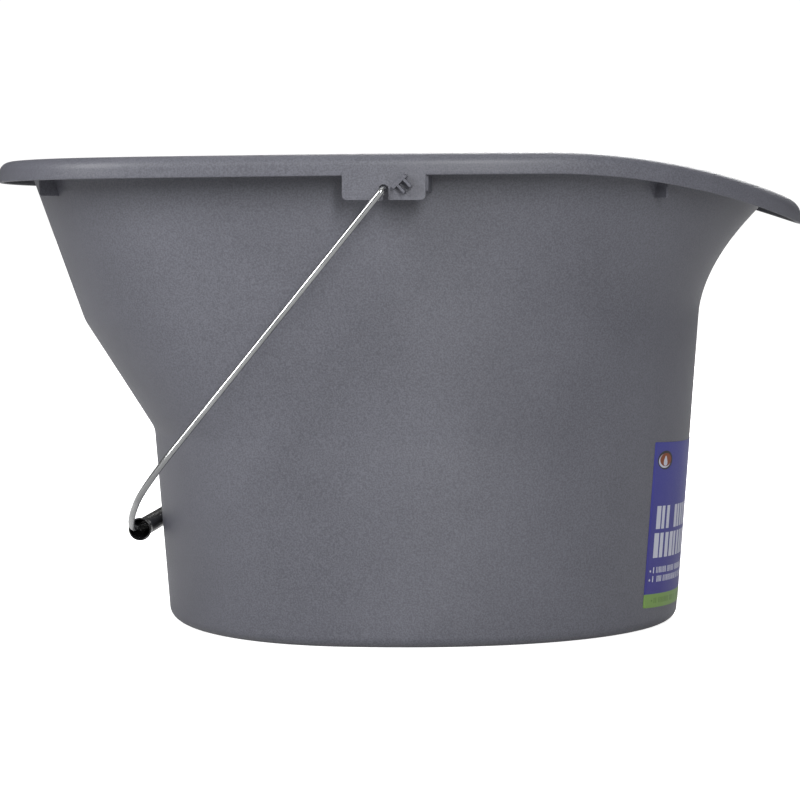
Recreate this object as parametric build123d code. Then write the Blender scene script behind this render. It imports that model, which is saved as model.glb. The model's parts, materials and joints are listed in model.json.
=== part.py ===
from build123d import *
import math
import os

# Oval wash bucket: a one-piece moulded tub with a pouring nose, a swinging wire bail, a tube grip and a label.
# Millimetres, +Z up, +X towards the pouring nose, origin on the floor below the middle of the rim.

# --- rim ---
rim_length = 417.0
rim_width = 300.0
rim_top = 241.5  # crest of the rim, where the nose starts to droop
rim_rise = 2.8  # how much lower the back of the rim is than the crest
crest_x = 83.5
droop_radius = 325.0
rim_height = 10.4
rim_edge_radius = 5.6
skirt_wall = 2.2
flange_wall = 2.2
back_power = 5.0  # blunt back end of the plan outline
nose_power = 2.2  # rounder nose end of the plan outline
rim_widest_x = -23.5

# --- walls: how far each level stands inside the one above it, at the back, nose and sides ---
wall = 2.2
ledge_back = 11.5
ledge_nose = 20.0  # at the level of the rim's lowest point
ledge_side = 18.5
upper_level = 157.5  # top of the sloped band
lower_level = 101.5  # bottom of the sloped band
upper_taper_back = 29.8
upper_taper_side = 7.0
flare_reach = 32.4  # how far the nose leans out above the band
flare_power = 1.85
band_taper_back = 36.7
band_taper_nose = 3.6
band_taper_side = 5.0
lower_taper_back = 6.8
lower_taper_nose = 6.8
lower_taper_side = 3.2
foot_power = 2.15
foot_widest_x = -15.5
foot_radius = 5.6
foot_recess = 2.4
foot_rail = 13.0
floor_wall = 2.6

# --- ears that carry the bail, one each side ---
pivot_x = 7.2
pivot_drop = 7.2  # pivot axis below the lower edge of the rim skirt
ear_width = 39.2
ear_depth = 12.2  # below the lower edge of the rim skirt
ear_corner = 2.6
ear_gusset = 2.0
ear_gusset_depth = 8.2
slot_clearance = 0.7
slot_mouth = 2.7
stop_angle = 43.5  # direction of the stop rib above +X
stop_length = 9.0
stop_wall = 2.0
stop_proud = 3.4
stop_start = 3.5
stop_root = 2.6  # how far inside the rim's widest point the rib starts, within the plate
stop_legs = (2.2, 6.2)  # along the rib
stop_leg_length = 4.8
stop_leg_wall = 1.3

# --- ribs that keep stacked tubs apart ---
nest_rib_wall = 1.2
nest_rib_reach = 9.5
nest_rib_depth = 7.2
nest_rib_angles = (43.5, 146.6)  # round the plan outline, from the nose

# --- bail and grip ---
wire = 3.2
arm_clearance = 0.7  # between the rim's widest point and the wire
swing_clearance = 3.8  # between the grip and the back of the rim
rest_gap = 0.73  # between the hanging grip and the back wall
hook_bend = 2.4
hook_gap = 1.4  # between the ear's back and the bent-in end of the wire
hook_leg = 3.4
shoulder_radius = 41.6
shoulder_turn = 60.0
bow_turn = 18.0
neck_radius = 30.0
grip_length = 100.0
grip_barrel = 9.5
grip_bore = 7.9
grip_mouth = 12.2
grip_mouth_bore = 10.4
grip_flare = 13.0
grip_gap = 0.25  # between the wire and the bore it lies against
grip_lean = 25.0  # direction in which the loose grip hangs off the wire, below +X

# --- label on the nose ---
label_skin = 0.2
label_bottom = 12.5
label_height = 85.0
label_width = 110.0
label_corner = 0.8

OUTLINE_POINTS = 48
TALL = 60.0

back_x = -rim_length / 2
nose_x = rim_length / 2
ear_top = rim_top - rim_height
pivot_z = ear_top - pivot_drop


def rim_slope():
    return math.atan2(rim_rise, crest_x - back_x)


def droop_centre():
    return crest_x + droop_radius * math.sin(rim_slope()), rim_top - droop_radius * math.cos(rim_slope())


def rim_line(x):
    """Height of the rim's top line at x: a straight rise from the back, then a tangent arc down to the nose."""
    if x <= crest_x:
        return rim_top - (crest_x - x) * math.tan(rim_slope())
    centre = droop_centre()
    return centre[1] + math.sqrt(droop_radius**2 - (x - centre[0]) ** 2)


def outline(level, back, nose, half_width, widest_x, back_n, nose_n):
    """Closed plan curve y = b * sqrt(1 - u^n), with its own length and power n each side of the widest point."""
    points = []
    for step in range(OUTLINE_POINTS):
        angle = 2 * math.pi * step / OUTLINE_POINTS
        along = math.cos(angle)
        reach = nose - widest_x if along >= 0 else widest_x - back
        power = nose_n if along >= 0 else back_n
        side = math.copysign(half_width * math.sqrt(max(0.0, 1 - abs(along) ** power)), math.sin(angle))
        points.append((widest_x + reach * along, side, level))
    return Face(Wire(Spline(points, periodic=True)))


def rim_outline(level, inset=0.0):
    return outline(
        level, back_x + inset, nose_x - inset, rim_width / 2 - inset, rim_widest_x, back_power, nose_power
    )


def wall_ends(level):
    """Outer wall at one level: back x, nose x and half width, following the three zones of the side."""
    back = back_x + ledge_back
    nose = nose_x - ledge_nose
    half = rim_width / 2 - ledge_side
    if level >= upper_level:
        down = (rim_top - level) / (rim_top - upper_level)
        flare = ((level - upper_level) / (rim_line(nose_x) - upper_level)) ** flare_power
        nose_now = nose - flare_reach * (1 - flare)
        return back + upper_taper_back * down, nose_now, half - upper_taper_side * down
    back += upper_taper_back
    nose -= flare_reach
    half -= upper_taper_side
    if level >= lower_level:
        down = (upper_level - level) / (upper_level - lower_level)
        return back + band_taper_back * down, nose - band_taper_nose * down, half - band_taper_side * down
    back += band_taper_back
    nose -= band_taper_nose
    half -= band_taper_side
    down = (lower_level - level) / lower_level
    return back + lower_taper_back * down, nose - lower_taper_nose * down, half - lower_taper_side * down


def wall_outline(level, inset=0.0):
    """Plan outline of the wall at one level; the foot is nearly elliptical and the top follows the rim."""
    back, nose, half = wall_ends(level)
    up = min(1.0, level / rim_top)
    widest = foot_widest_x + (rim_widest_x - foot_widest_x) * up
    back_n = foot_power + (back_power - 0.6 - foot_power) * up
    nose_n = foot_power + (nose_power - foot_power) * up
    return outline(level, back + inset, nose - inset, half - inset, widest, back_n, nose_n)


def wall_solid(bottom, inset):
    """Solid bounded by the wall: a rounded foot, two straight zones and a flared one, up past the rim's crest."""
    radius = foot_radius - inset
    turns = [math.radians(18 * step) for step in range(6)]
    foot = loft([
        wall_outline(bottom + radius * (1 - math.cos(turn)), inset + radius * (1 - math.sin(turn)))
        for turn in turns
    ])
    straight_levels = (bottom + radius, lower_level, upper_level)
    straight = loft([wall_outline(level, inset) for level in straight_levels], ruled=True)
    steps = 5
    rise = (rim_top + flange_wall - upper_level) / steps
    flared = loft([wall_outline(upper_level + rise * step, inset) for step in range(steps + 1)])
    return foot + straight + flared


def under_rim_line(drop):
    """Everything below the rim's top line lowered by drop."""
    left = back_x - TALL
    right = nose_x + TALL / 3
    middle = (crest_x + right) / 2
    start = (left, rim_line(left) - drop)
    crest = (crest_x, rim_line(crest_x) - drop)
    finish = (right, rim_line(right) - drop)
    rise = Line(start, crest)
    arc = ThreePointArc(crest, (middle, rim_line(middle) - drop), finish)
    rest = Polyline(finish, (right, -TALL), (left, -TALL), start)
    section = Plane.XZ * make_face([rise, arc, *rest.edges()])
    return extrude(section, amount=rim_width, both=True)


def rim_prism(inset):
    return extrude(rim_outline(0, inset), amount=rim_top + TALL)


def rim_band(inset, drop, height, edge_radius):
    """Rim prism between two copies of the rim's top line, with its upper outside edge rounded."""
    band = (rim_prism(inset) & under_rim_line(drop)) - under_rim_line(drop + height)
    upper_edges = []
    for edge in band.edges():
        middle = edge @ 0.5
        across = abs((edge @ 0).X - (edge @ 1).X) < 0.01 and abs(middle.X - crest_x) < 0.01
        if abs(middle.Z - rim_line(middle.X) + drop) < 0.05 and not across:
            upper_edges.append(edge)
    return fillet(upper_edges, edge_radius)


def box_between(low, high):
    size = [high[i] - low[i] for i in range(3)]
    return Pos(*low) * Box(*size, align=(Align.MIN, Align.MIN, Align.MIN))


def ear_plate():
    """Flat tongue below the skirt on the -Y side, flush with it, with the slot that the bail hooks into."""
    left = pivot_x - ear_width / 2
    right = pivot_x + ear_width / 2
    bottom = ear_top - ear_depth
    skirt = rim_prism(0) - rim_prism(skirt_wall)
    front = Plane.XZ * Pos(pivot_x, (bottom + ear_top + 2) / 2) * RectangleRounded(
        ear_width, ear_top + 2 - bottom, ear_corner
    )
    plate = skirt & extrude(front, amount=rim_width)
    radius = wire / 2 + slot_clearance
    slot = Plane.XZ * (
        Pos(pivot_x, pivot_z) * Circle(radius)
        + Pos(pivot_x + radius - slot_mouth / 2, pivot_z - ear_depth / 2) * Rectangle(slot_mouth, ear_depth)
    )
    return plate - extrude(slot, amount=rim_width)


def stop_rib():
    """Slanted rib on the ear's face, with two legs behind it, where the raised bail comes to rest."""
    reach = rim_width / 2 + stop_proud
    face_y = -(rim_width / 2 - stop_root)
    blocks = [(stop_start, stop_length, -wire / 2 - stop_wall, stop_wall)]
    for at in stop_legs:
        blocks.append((stop_start + at, stop_leg_wall, -wire / 2 - stop_wall - stop_leg_length, stop_leg_length + 0.2))
    shape = None
    for along, length, low, thick in blocks:
        piece = Pos(along, low, 0) * Box(length, thick, reach + face_y, align=(Align.MIN, Align.MIN, Align.MIN))
        shape = piece if shape is None else shape + piece
    plane = Plane(origin=(pivot_x, face_y, pivot_z), x_dir=heading(stop_angle), z_dir=(0, -1, 0))
    return plane * shape


def heading(angle):
    """Unit vector in the XZ plane, angle measured from +X towards +Z."""
    return math.cos(math.radians(angle)), 0, math.sin(math.radians(angle))


def ear():
    """One ear on the -Y side: plate, stop rib and the two gussets that tie the plate to the wall."""
    shape = ear_plate() + stop_rib()
    low_z = ear_top - ear_gusset_depth
    for x in (pivot_x - ear_width / 2 + 0.2, pivot_x + ear_width / 2 - 0.8):
        block = box_between((x, -rim_width / 2, low_z), (x + ear_gusset, -rim_width / 4, ear_top + 4))
        shape += block & rim_prism(skirt_wall / 2)
    return shape


def nest_ribs():
    """Upright ribs under the flange, square to the wall, that stop stacked tubs from jamming."""
    level = ear_top - nest_rib_depth
    back, nose, half = wall_ends(level)
    shape = []
    for angle in nest_rib_angles:
        along = math.cos(math.radians(angle))
        reach = nose - rim_widest_x if along > 0 else rim_widest_x - back
        power = nose_power if along > 0 else back_power - 0.6
        x = rim_widest_x + reach * along
        y = -half * math.sqrt(1 - abs(along) ** power)
        slope_x = math.copysign(power * abs(along) ** (power - 1) / reach, along)
        slope_y = 2 * y / half**2
        turn = math.degrees(math.atan2(slope_y, slope_x))
        low = rim_line(x) - rim_height - nest_rib_depth
        rib = Pos(-10, -nest_rib_wall / 2, 0) * Box(
            10 + nest_rib_reach, nest_rib_wall, rim_line(x) - flange_wall / 2 - low,
            align=(Align.MIN, Align.MIN, Align.MIN),
        )
        shape.append(Pos(x, y, low) * Rot(0, 0, turn) * rib)
    return shape


def make_tub():
    inside = wall_solid(foot_recess + floor_wall, wall)
    shell = wall_solid(0, 0)
    shell -= extrude(wall_outline(0, foot_rail), amount=foot_recess)
    shell &= under_rim_line(flange_wall / 2)
    rim = rim_band(0, 0, rim_height, rim_edge_radius)
    rim -= rim_band(skirt_wall, flange_wall, rim_height + 5, rim_edge_radius - skirt_wall)
    one_side = ear()
    for rib in nest_ribs():
        one_side += rib
    body = shell + rim + one_side + mirror(one_side, about=Plane.XZ)
    return body - inside


def arm_y():
    return rim_width / 2 + arm_clearance + wire / 2


def hook_inset():
    """From the arm's axis inwards, through the ear's slot, to the axis of the bent-in end."""
    return arm_clearance + wire + skirt_wall + hook_gap


def bail_reach():
    """Pivot axis to the wire's straight middle, long enough for the grip to swing over the back of the rim."""
    edge_z = rim_line(back_x) - rim_edge_radius
    return math.hypot(pivot_x - back_x, edge_z - pivot_z) + grip_barrel / 2 + swing_clearance


def grip_hang():
    """How far the loose grip's axis hangs off the axis of the wire inside it."""
    return grip_bore / 2 - wire / 2 - grip_gap


def rest_angle():
    """Degrees of the arms from straight down, at which the grip's barrel clears the back wall by the rest gap."""
    lean = heading(-grip_lean)
    angle = 0.0
    for _ in range(20):
        level = pivot_z - bail_reach() * math.cos(angle) + grip_hang() * lean[2]
        wall_back = wall_ends(level)[0]
        across = pivot_x - wall_back + grip_hang() * lean[0] + grip_barrel / 2 + rest_gap
        angle = math.asin(across / bail_reach())
    return math.degrees(angle)


def bail_moves():
    """Moves of the wire from one hook's tip to the other: (length,) runs and (radius, left turn) arcs."""
    half_middle = (grip_length - grip_gap) / 2
    neck_turn = 90 - shoulder_turn - bow_turn
    leave = math.radians(shoulder_turn)
    arrive = math.radians(shoulder_turn + bow_turn)
    sideways = shoulder_radius * (1 - math.cos(leave)) + neck_radius * math.cos(arrive)
    bow_radius = (arm_y() - half_middle - sideways) / (math.cos(leave) - math.cos(arrive))
    forward = shoulder_radius * math.sin(leave) + bow_radius * (math.sin(arrive) - math.sin(leave))
    arm_run = bail_reach() - hook_bend - forward - neck_radius * (1 - math.sin(arrive))
    side = [
        (hook_leg,), (hook_bend, 90), (hook_inset() - 2 * hook_bend,), (hook_bend, 90), (arm_run,),
        (shoulder_radius, shoulder_turn), (bow_radius, bow_turn), (neck_radius, neck_turn),
    ]
    return side + [(2 * half_middle,)] + side[::-1]


def walk(point, facing, moves):
    """Joined lines and tangent arcs drawn from a point, facing an angle in degrees."""
    x, y = point
    edges = []
    for move in moves:
        if len(move) == 1:
            ahead = math.radians(facing)
            target = (x + move[0] * math.cos(ahead), y + move[0] * math.sin(ahead))
            edges.append(Line((x, y), target))
        else:
            radius, turn = move
            start = math.radians(facing)
            centre = (x - radius * math.sin(start), y + radius * math.cos(start))
            half = math.radians(facing + turn / 2)
            end = math.radians(facing + turn)
            middle = (centre[0] + radius * math.sin(half), centre[1] - radius * math.cos(half))
            target = (centre[0] + radius * math.sin(end), centre[1] - radius * math.cos(end))
            edges.append(ThreePointArc((x, y), middle, target))
            facing += turn
        x, y = target
    return Wire(edges)


def make_bail():
    """Bent wire in the plane of its arms, whose local X runs from the pivot axis to the grip."""
    down = heading(-90 - rest_angle())
    plane = Plane(origin=(pivot_x, 0, pivot_z), x_dir=down, z_dir=(-down[2], 0, down[0]))
    path = plane * walk((hook_bend + hook_leg, -arm_y() + hook_inset()), 180, bail_moves())
    end = Plane(origin=path @ 0, z_dir=path % 0)
    return sweep(end * Circle(wire / 2), path=path)


def grip_centre():
    """Axis of the grip at rest: it hangs off the wire until the bore touches it."""
    arm = heading(-90 - rest_angle())
    lean = heading(-grip_lean)
    return tuple(
        start + bail_reach() * along + grip_hang() * aside
        for start, along, aside in zip((pivot_x, 0, pivot_z), arm, lean)
    )


def make_grip():
    """Tube turned about its own axis, flared to a wider mouth at each end."""
    half = grip_length / 2

    def flared_side(barrel, mouth):
        rise = (mouth - barrel) / 2
        bend = (grip_flare**2 + rise**2) / (2 * rise)
        at = grip_flare / 2
        middle = (barrel / 2 + bend - math.sqrt(bend**2 - at**2), half - grip_flare + at)
        return ThreePointArc((barrel / 2, half - grip_flare), middle, (mouth / 2, half))

    outer = flared_side(grip_barrel, grip_mouth)
    inner = flared_side(grip_bore, grip_mouth_bore)
    edges = [
        outer, inner,
        Line((grip_mouth / 2, half), (grip_mouth_bore / 2, half)),
        Line((grip_bore / 2, half - grip_flare), (grip_bore / 2, 0)),
        Line((grip_bore / 2, 0), (grip_barrel / 2, 0)),
        Line((grip_barrel / 2, 0), (grip_barrel / 2, half - grip_flare)),
    ]
    end = revolve(make_face(edges), Axis.Y)
    return Pos(*grip_centre()) * (end + mirror(end, about=Plane.XZ))


def make_label():
    """Thin skin on the nose wall, rectangular as seen from the nose."""
    levels = (foot_radius, lower_level)
    skin = loft([wall_outline(level, -label_skin) for level in levels], ruled=True)
    skin -= loft([wall_outline(level) for level in levels], ruled=True)
    middle = label_bottom + label_height / 2
    window = Plane.YZ * Pos(0, middle) * RectangleRounded(label_width, label_height, label_corner)
    return skin & extrude(window, amount=nose_x)


def main():
    os.makedirs("parts", exist_ok=True)
    nodes = {"tub": make_tub(), "bail_wire": make_bail(), "grip": make_grip(), "nose_label": make_label()}
    for name, shape in nodes.items():
        export_step(shape, f"parts/{name}.step")


main()
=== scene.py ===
"""Looks of an oval wash bucket: a moulded tub with a pouring nose, a wire bail, a tube grip and a label.

Metres, +Z up, +X towards the pouring nose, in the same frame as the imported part.
"""

import json
import logging
import math
from collections.abc import Callable, Sequence
from dataclasses import dataclass, field
from enum import Enum

import bpy
import numpy as np
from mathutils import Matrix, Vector
from mathutils.geometry import delaunay_2d_cdt


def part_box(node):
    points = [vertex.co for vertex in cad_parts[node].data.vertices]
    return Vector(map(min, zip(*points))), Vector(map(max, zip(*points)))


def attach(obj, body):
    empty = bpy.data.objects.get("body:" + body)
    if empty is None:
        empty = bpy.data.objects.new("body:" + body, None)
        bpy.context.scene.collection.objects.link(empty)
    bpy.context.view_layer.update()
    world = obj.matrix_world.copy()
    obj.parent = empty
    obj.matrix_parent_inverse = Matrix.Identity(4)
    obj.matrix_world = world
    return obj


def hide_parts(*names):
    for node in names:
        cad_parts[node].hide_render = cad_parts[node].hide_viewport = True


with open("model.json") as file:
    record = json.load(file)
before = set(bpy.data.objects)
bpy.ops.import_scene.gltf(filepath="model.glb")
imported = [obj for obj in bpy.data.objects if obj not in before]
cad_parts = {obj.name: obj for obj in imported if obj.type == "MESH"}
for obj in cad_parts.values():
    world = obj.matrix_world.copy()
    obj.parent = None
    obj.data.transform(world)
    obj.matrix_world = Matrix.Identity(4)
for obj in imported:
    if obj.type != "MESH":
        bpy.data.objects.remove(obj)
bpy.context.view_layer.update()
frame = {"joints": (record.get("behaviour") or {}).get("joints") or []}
MM = 0.001
RIM_WIDTH = 300 * MM
RIM_TOP = 241.5 * MM  # crest of the rim
BAIL_REACH = 224.446 * MM  # from the pivot's axis to the wire inside the grip
FULL_TURN = 2 * math.pi
log = logging.getLogger("wash_bucket")

JOINTS = {joint["name"]: joint for joint in frame["joints"]}
PIVOT = np.array(JOINTS["bail_swing"]["pos_m"], float)
GRIP_CENTRE = np.array(JOINTS["grip_spin"]["pos_m"], float)

Placer = Callable[[np.ndarray], np.ndarray]
Socket = bpy.types.NodeSocket
Tree = bpy.types.NodeTree


class Body(Enum):
    """Rigid bodies of the part that pieces ride on."""

    BUCKET = "bucket"
    BAIL = "bail"
    HANDLE = "handle"


class Slot(Enum):
    """Material slots of the part's record."""

    TUB = "tub_plastic"
    WIRE = "zinc_wire"
    GRIP = "grip_plastic"
    LABEL = "label_film"


# ---------------------------------------------------------------- surfaces


@dataclass
class Skin:
    """Vertices with quads and triangles, and a texture place for every face corner."""

    vertices: np.ndarray
    quads: np.ndarray
    quad_uv: np.ndarray
    triangles: np.ndarray = field(default_factory=lambda: np.zeros((0, 3), int))
    triangle_uv: np.ndarray = field(default_factory=lambda: np.zeros((0, 3, 2)))

    def volume(self) -> float:
        """Signed volume: a sixth of the sum of triple products over the faces' triangles.

        Returns:
            The volume, negative if the faces point inwards.
        """
        halves = [self.quads[:, [0, 1, 2]], self.quads[:, [0, 2, 3]], self.triangles]
        corners = self.vertices[np.concatenate(halves)]
        return float(np.einsum("ij,ij->", corners[:, 0], np.cross(corners[:, 1], corners[:, 2])) / 6)

    def reversed(self) -> "Skin":
        """The same skin with every face turned over."""
        return Skin(
            self.vertices, self.quads[:, ::-1], self.quad_uv[:, ::-1],
            self.triangles[:, ::-1], self.triangle_uv[:, ::-1],
        )

    def outward(self) -> "Skin":
        """The closed skin with its faces pointing out."""
        return self if self.volume() > 0 else self.reversed()

    def mirrored(self) -> "Skin":
        """The closed skin on the other side of the XZ plane."""
        return Skin(
            self.vertices * (1, -1, 1), self.quads, self.quad_uv, self.triangles, self.triangle_uv
        ).outward()


def joined(skins: Sequence[Skin]) -> Skin:
    """Puts several skins into one.

    Args:
        skins: the skins, each already facing outwards.

    Returns:
        One skin whose faces count on through the vertices of all of them.
    """
    starts = np.cumsum([0] + [len(skin.vertices) for skin in skins[:-1]])
    return Skin(
        np.concatenate([skin.vertices for skin in skins]),
        np.concatenate([skin.quads + start for skin, start in zip(skins, starts)]),
        np.concatenate([skin.quad_uv for skin in skins]),
        np.concatenate([skin.triangles + start for skin, start in zip(skins, starts)]),
        np.concatenate([skin.triangle_uv for skin in skins]),
    )


def lengths_along(points: np.ndarray) -> np.ndarray:
    """Distance run from the first point to each point of a polyline."""
    return np.concatenate([[0.0], np.cumsum(np.linalg.norm(np.diff(points, axis=0), axis=1))])


def grid_skin(
    points: np.ndarray, u: np.ndarray, v: np.ndarray, wrap: bool = False, poles: Sequence[np.ndarray] = ()
) -> Skin:
    """Quads between neighbours of a grid whose first index runs round a closed ring.

    Quad (i, j) joins points (i, j), (i + 1, j), (i + 1, j + 1) and (i, j + 1), counted round the ring.

    Args:
        points: places, as (around, along, 3).
        u: texture place of each step around, one more than the steps.
        v: texture place of each step along, one more than the steps.
        wrap: whether the grid closes along its second index too.
        poles: a point that closes the first ring and one that closes the last, or nothing.

    Returns:
        The skin, facing outwards.
    """
    around, along = points.shape[:2]
    i = np.arange(around)[:, None]
    j = np.arange(along if wrap else along - 1)[None, :]
    i_next = (i + 1) % around
    j_next = (j + 1) % along
    quads = np.stack(
        [i * along + j, i_next * along + j, i_next * along + j_next, i * along + j_next], -1
    ).reshape(-1, 4)
    corner_u = np.broadcast_arrays(u[i], u[i + 1], j)
    corner_v = np.broadcast_arrays(v[j], v[j + 1], i)
    quad_uv = np.stack([
        np.stack([corner_u[0], corner_v[0]], -1), np.stack([corner_u[1], corner_v[0]], -1),
        np.stack([corner_u[1], corner_v[1]], -1), np.stack([corner_u[0], corner_v[1]], -1),
    ], -2).reshape(-1, 4, 2)
    vertices = points.reshape(-1, 3)
    closing = ()
    if len(poles):
        count = len(vertices)
        vertices = np.concatenate([vertices, np.array(poles, float)])
        ring = np.arange(around)
        ring_next = (ring + 1) % around
        first = np.stack([np.full(around, count), ring_next * along, ring * along], -1)
        final = along - 1
        last = np.stack([ring * along + final, ring_next * along + final, np.full(around, count + 1)], -1)
        middle = (u[:-1] + u[1:]) / 2
        start = np.full(around, v[0])
        end = np.full(around, v[-1])
        triangle_uv = np.concatenate([
            np.stack([np.stack([place, start], -1) for place in (middle, u[1:], u[:-1])], 1),
            np.stack([np.stack([place, end], -1) for place in (u[:-1], u[1:], middle)], 1),
        ])
        closing = (np.concatenate([first, last]), triangle_uv)
    return Skin(vertices, quads, quad_uv, *closing).outward()


def fill_in(points: np.ndarray, spacing: float) -> np.ndarray:
    """Closed outline with its long runs cut into steps of about the spacing.

    Args:
        points: the outline, as (count, 2).
        spacing: longest step.

    Returns:
        The outline with the steps in it.
    """
    ahead = np.roll(points, -1, 0)
    runs = np.linalg.norm(ahead - points, axis=1)
    counts = np.ceil(runs / spacing).astype(int)
    return np.concatenate([
        a + (b - a) * np.linspace(0, 1, count, endpoint=False)[:, None]
        for a, b, count, run in zip(points, ahead, counts, runs) if run > 1e-7
    ])


def rounded_outline(corners: Sequence[Sequence[float]], radii: Sequence[float], spacing: float) -> np.ndarray:
    """Closed flat outline with rounded corners.

    Each corner becomes the quadratic curve (1-t)^2 A + 2t(1-t) C + t^2 B, where A and B lie one radius
    before and after the corner C.

    Args:
        corners: the outline's corners in order.
        radii: how far each corner's curve reaches, or 0 for a sharp one.
        spacing: longest step along a straight run.

    Returns:
        The outline's points, as (count, 2).
    """
    sharp = np.array(corners, float)
    t = np.linspace(0, 1, 7)[:, None]
    bends = []
    for corner, before, after, radius in zip(sharp, np.roll(sharp, 1, 0), np.roll(sharp, -1, 0), radii):
        if radius == 0:
            bends.append(corner[None])
            continue
        a = corner + (before - corner) / np.linalg.norm(before - corner) * radius
        b = corner + (after - corner) / np.linalg.norm(after - corner) * radius
        bends.append((1 - t) ** 2 * a + 2 * t * (1 - t) * corner + t**2 * b)
    return fill_in(np.concatenate(bends), spacing)


def inside_points(outline: np.ndarray, spacing: float) -> np.ndarray:
    """Square grid of points inside an outline, clear of its edge, by the odd count of edges on one side.

    Args:
        outline: the closed outline, as (count, 2).
        spacing: of the grid.

    Returns:
        The points, as (count, 2).
    """
    low, high = outline.min(0), outline.max(0)
    steps = [np.arange(low[k] + spacing / 2, high[k], spacing) for k in range(2)]
    spots = np.stack(np.meshgrid(*steps), -1).reshape(-1, 2)
    a = outline[None]
    b = np.roll(outline, -1, 0)[None]
    spot = spots[:, None, :]
    crosses = (a[..., 1] > spot[..., 1]) != (b[..., 1] > spot[..., 1])
    rise = np.where(a[..., 1] == b[..., 1], 1.0, b[..., 1] - a[..., 1])
    crossing = a[..., 0] + (spot[..., 1] - a[..., 1]) / rise * (b[..., 0] - a[..., 0])
    inside = (crosses & (spot[..., 0] < crossing)).sum(1) % 2 == 1
    clear = np.linalg.norm(spot - a, axis=-1).min(1) > 0.6 * spacing
    return spots[inside & clear]


def plate_skin(outline: np.ndarray, spacing: float, front: Placer, back: Placer) -> Skin:
    """Closed plate: a flat outline, filled with triangles, laid on a front and a back surface.

    Args:
        outline: the flat outline's points in order.
        spacing: of the points that fill it.
        front: carries flat points to the front surface.
        back: carries flat points to the back surface.

    Returns:
        The skin, facing outwards.
    """
    flat = np.concatenate([outline, inside_points(outline, spacing)])
    border = list(range(len(outline)))
    filled = delaunay_2d_cdt([Vector(spot) for spot in flat], [], [border], 1, 1e-9)
    spots = np.array([tuple(spot) for spot in filled[0]], float)
    front_faces = np.array([face for face in filled[2] if len(face) == 3], int)
    count = len(spots)
    ring = np.linalg.norm(spots[None] - outline[:, None], axis=-1).argmin(1)
    ring_next = np.roll(ring, -1)
    sides = np.stack([ring_next, ring, ring + count, ring_next + count], -1)
    faces = np.concatenate([front_faces, front_faces[:, ::-1] + count])
    both = np.concatenate([spots, spots])
    return Skin(
        np.concatenate([front(spots), back(spots)]), sides, both[sides], faces, both[faces]
    ).outward()


def build_piece(name: str, skin: Skin, material: bpy.types.Material) -> bpy.types.Object:
    """Makes a smooth-shaded object, at the origin, from a skin.

    Args:
        name: of the object.
        skin: its faces.
        material: its finish.

    Returns:
        The object, linked to the scene.
    """
    mesh = bpy.data.meshes.new(name)
    mesh.from_pydata(skin.vertices.tolist(), [], skin.quads.tolist() + skin.triangles.tolist())
    corners = np.concatenate([skin.quad_uv.reshape(-1, 2), skin.triangle_uv.reshape(-1, 2)])
    mesh.uv_layers.new(name="UVMap").data.foreach_set("uv", corners.astype(np.float32).ravel())
    mesh.materials.append(material)
    mesh.shade_smooth()
    piece = bpy.data.objects.new(name, mesh)
    bpy.context.scene.collection.objects.link(piece)
    return piece


def soften_edges(piece: bpy.types.Object, width: float) -> None:
    """Rounds the piece's sharp edges with a live bevel of that width.

    Args:
        piece: the object.
        width: of the bevel.
    """
    bevel = piece.modifiers.new("edges", "BEVEL")
    bevel.width = width
    bevel.segments = 3
    bevel.limit_method = "ANGLE"
    bevel.angle_limit = math.radians(50)
    bevel.harden_normals = True


def install(piece: bpy.types.Object, body: Body, slot: Slot, *nodes: str) -> None:
    """Makes the piece move with its body, hides the nodes of the part that it replaces, and reports it.

    Args:
        piece: the object.
        body: that it rides on.
        slot: its material slot; not used.
        nodes: of the part that it replaces.
    """
    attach(piece, body.value)
    if nodes:
        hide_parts(*nodes)
    log.info("%s: %d vertices on %s", piece.name, len(piece.data.vertices), body.value)


# ---------------------------------------------------------------- finishes


def add(tree: Tree, kind: str, inputs: dict | None = None, **settings: object) -> bpy.types.Node:
    """Adds a node to a tree.

    Args:
        tree: the tree.
        kind: the node's type.
        inputs: a value, or a socket to link, for each named or numbered input.
        settings: the node's own settings.

    Returns:
        The node.
    """
    node = tree.nodes.new(kind)
    for key, value in settings.items():
        setattr(node, key, value)
    for key, value in (inputs or {}).items():
        if isinstance(value, Socket):
            tree.links.new(value, node.inputs[key])
        else:
            node.inputs[key].default_value = value
    return node


def calc(tree: Tree, operation: str, *values: object) -> Socket:
    """Result of a Math node on numbers or sockets."""
    return add(tree, "ShaderNodeMath", dict(enumerate(values)), operation=operation).outputs[0]


def vector_calc(tree: Tree, operation: str, *values: object) -> bpy.types.Node:
    """A Vector Math node on vectors or sockets."""
    return add(tree, "ShaderNodeVectorMath", dict(enumerate(values)), operation=operation)


def ramp(
    tree: Tree, value: Socket, start: float, end: float, low: object = 0.0, high: object = 1.0
) -> Socket:
    """Smooth step of a value from low at start to high at end."""
    return add(
        tree, "ShaderNodeMapRange", {0: value, 1: start, 2: end, 3: low, 4: high},
        interpolation_type="SMOOTHSTEP",
    ).outputs[0]


def blend_colours(tree: Tree, mask: Socket, first: object, second: object) -> Socket:
    """Colour that goes from the first to the second as the mask goes from 0 to 1."""
    node = add(tree, "ShaderNodeMix", {0: mask, 6: first, 7: second}, data_type="RGBA")
    return node.outputs[2]


def noise(tree: Tree, point: Socket, scale: float, detail: float = 2.0, rough: float = 0.5) -> Socket:
    """Value of a Noise Texture at a point."""
    values = {"Vector": point, "Scale": scale, "Detail": detail, "Roughness": rough}
    return add(tree, "ShaderNodeTexNoise", values).outputs[0]


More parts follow.
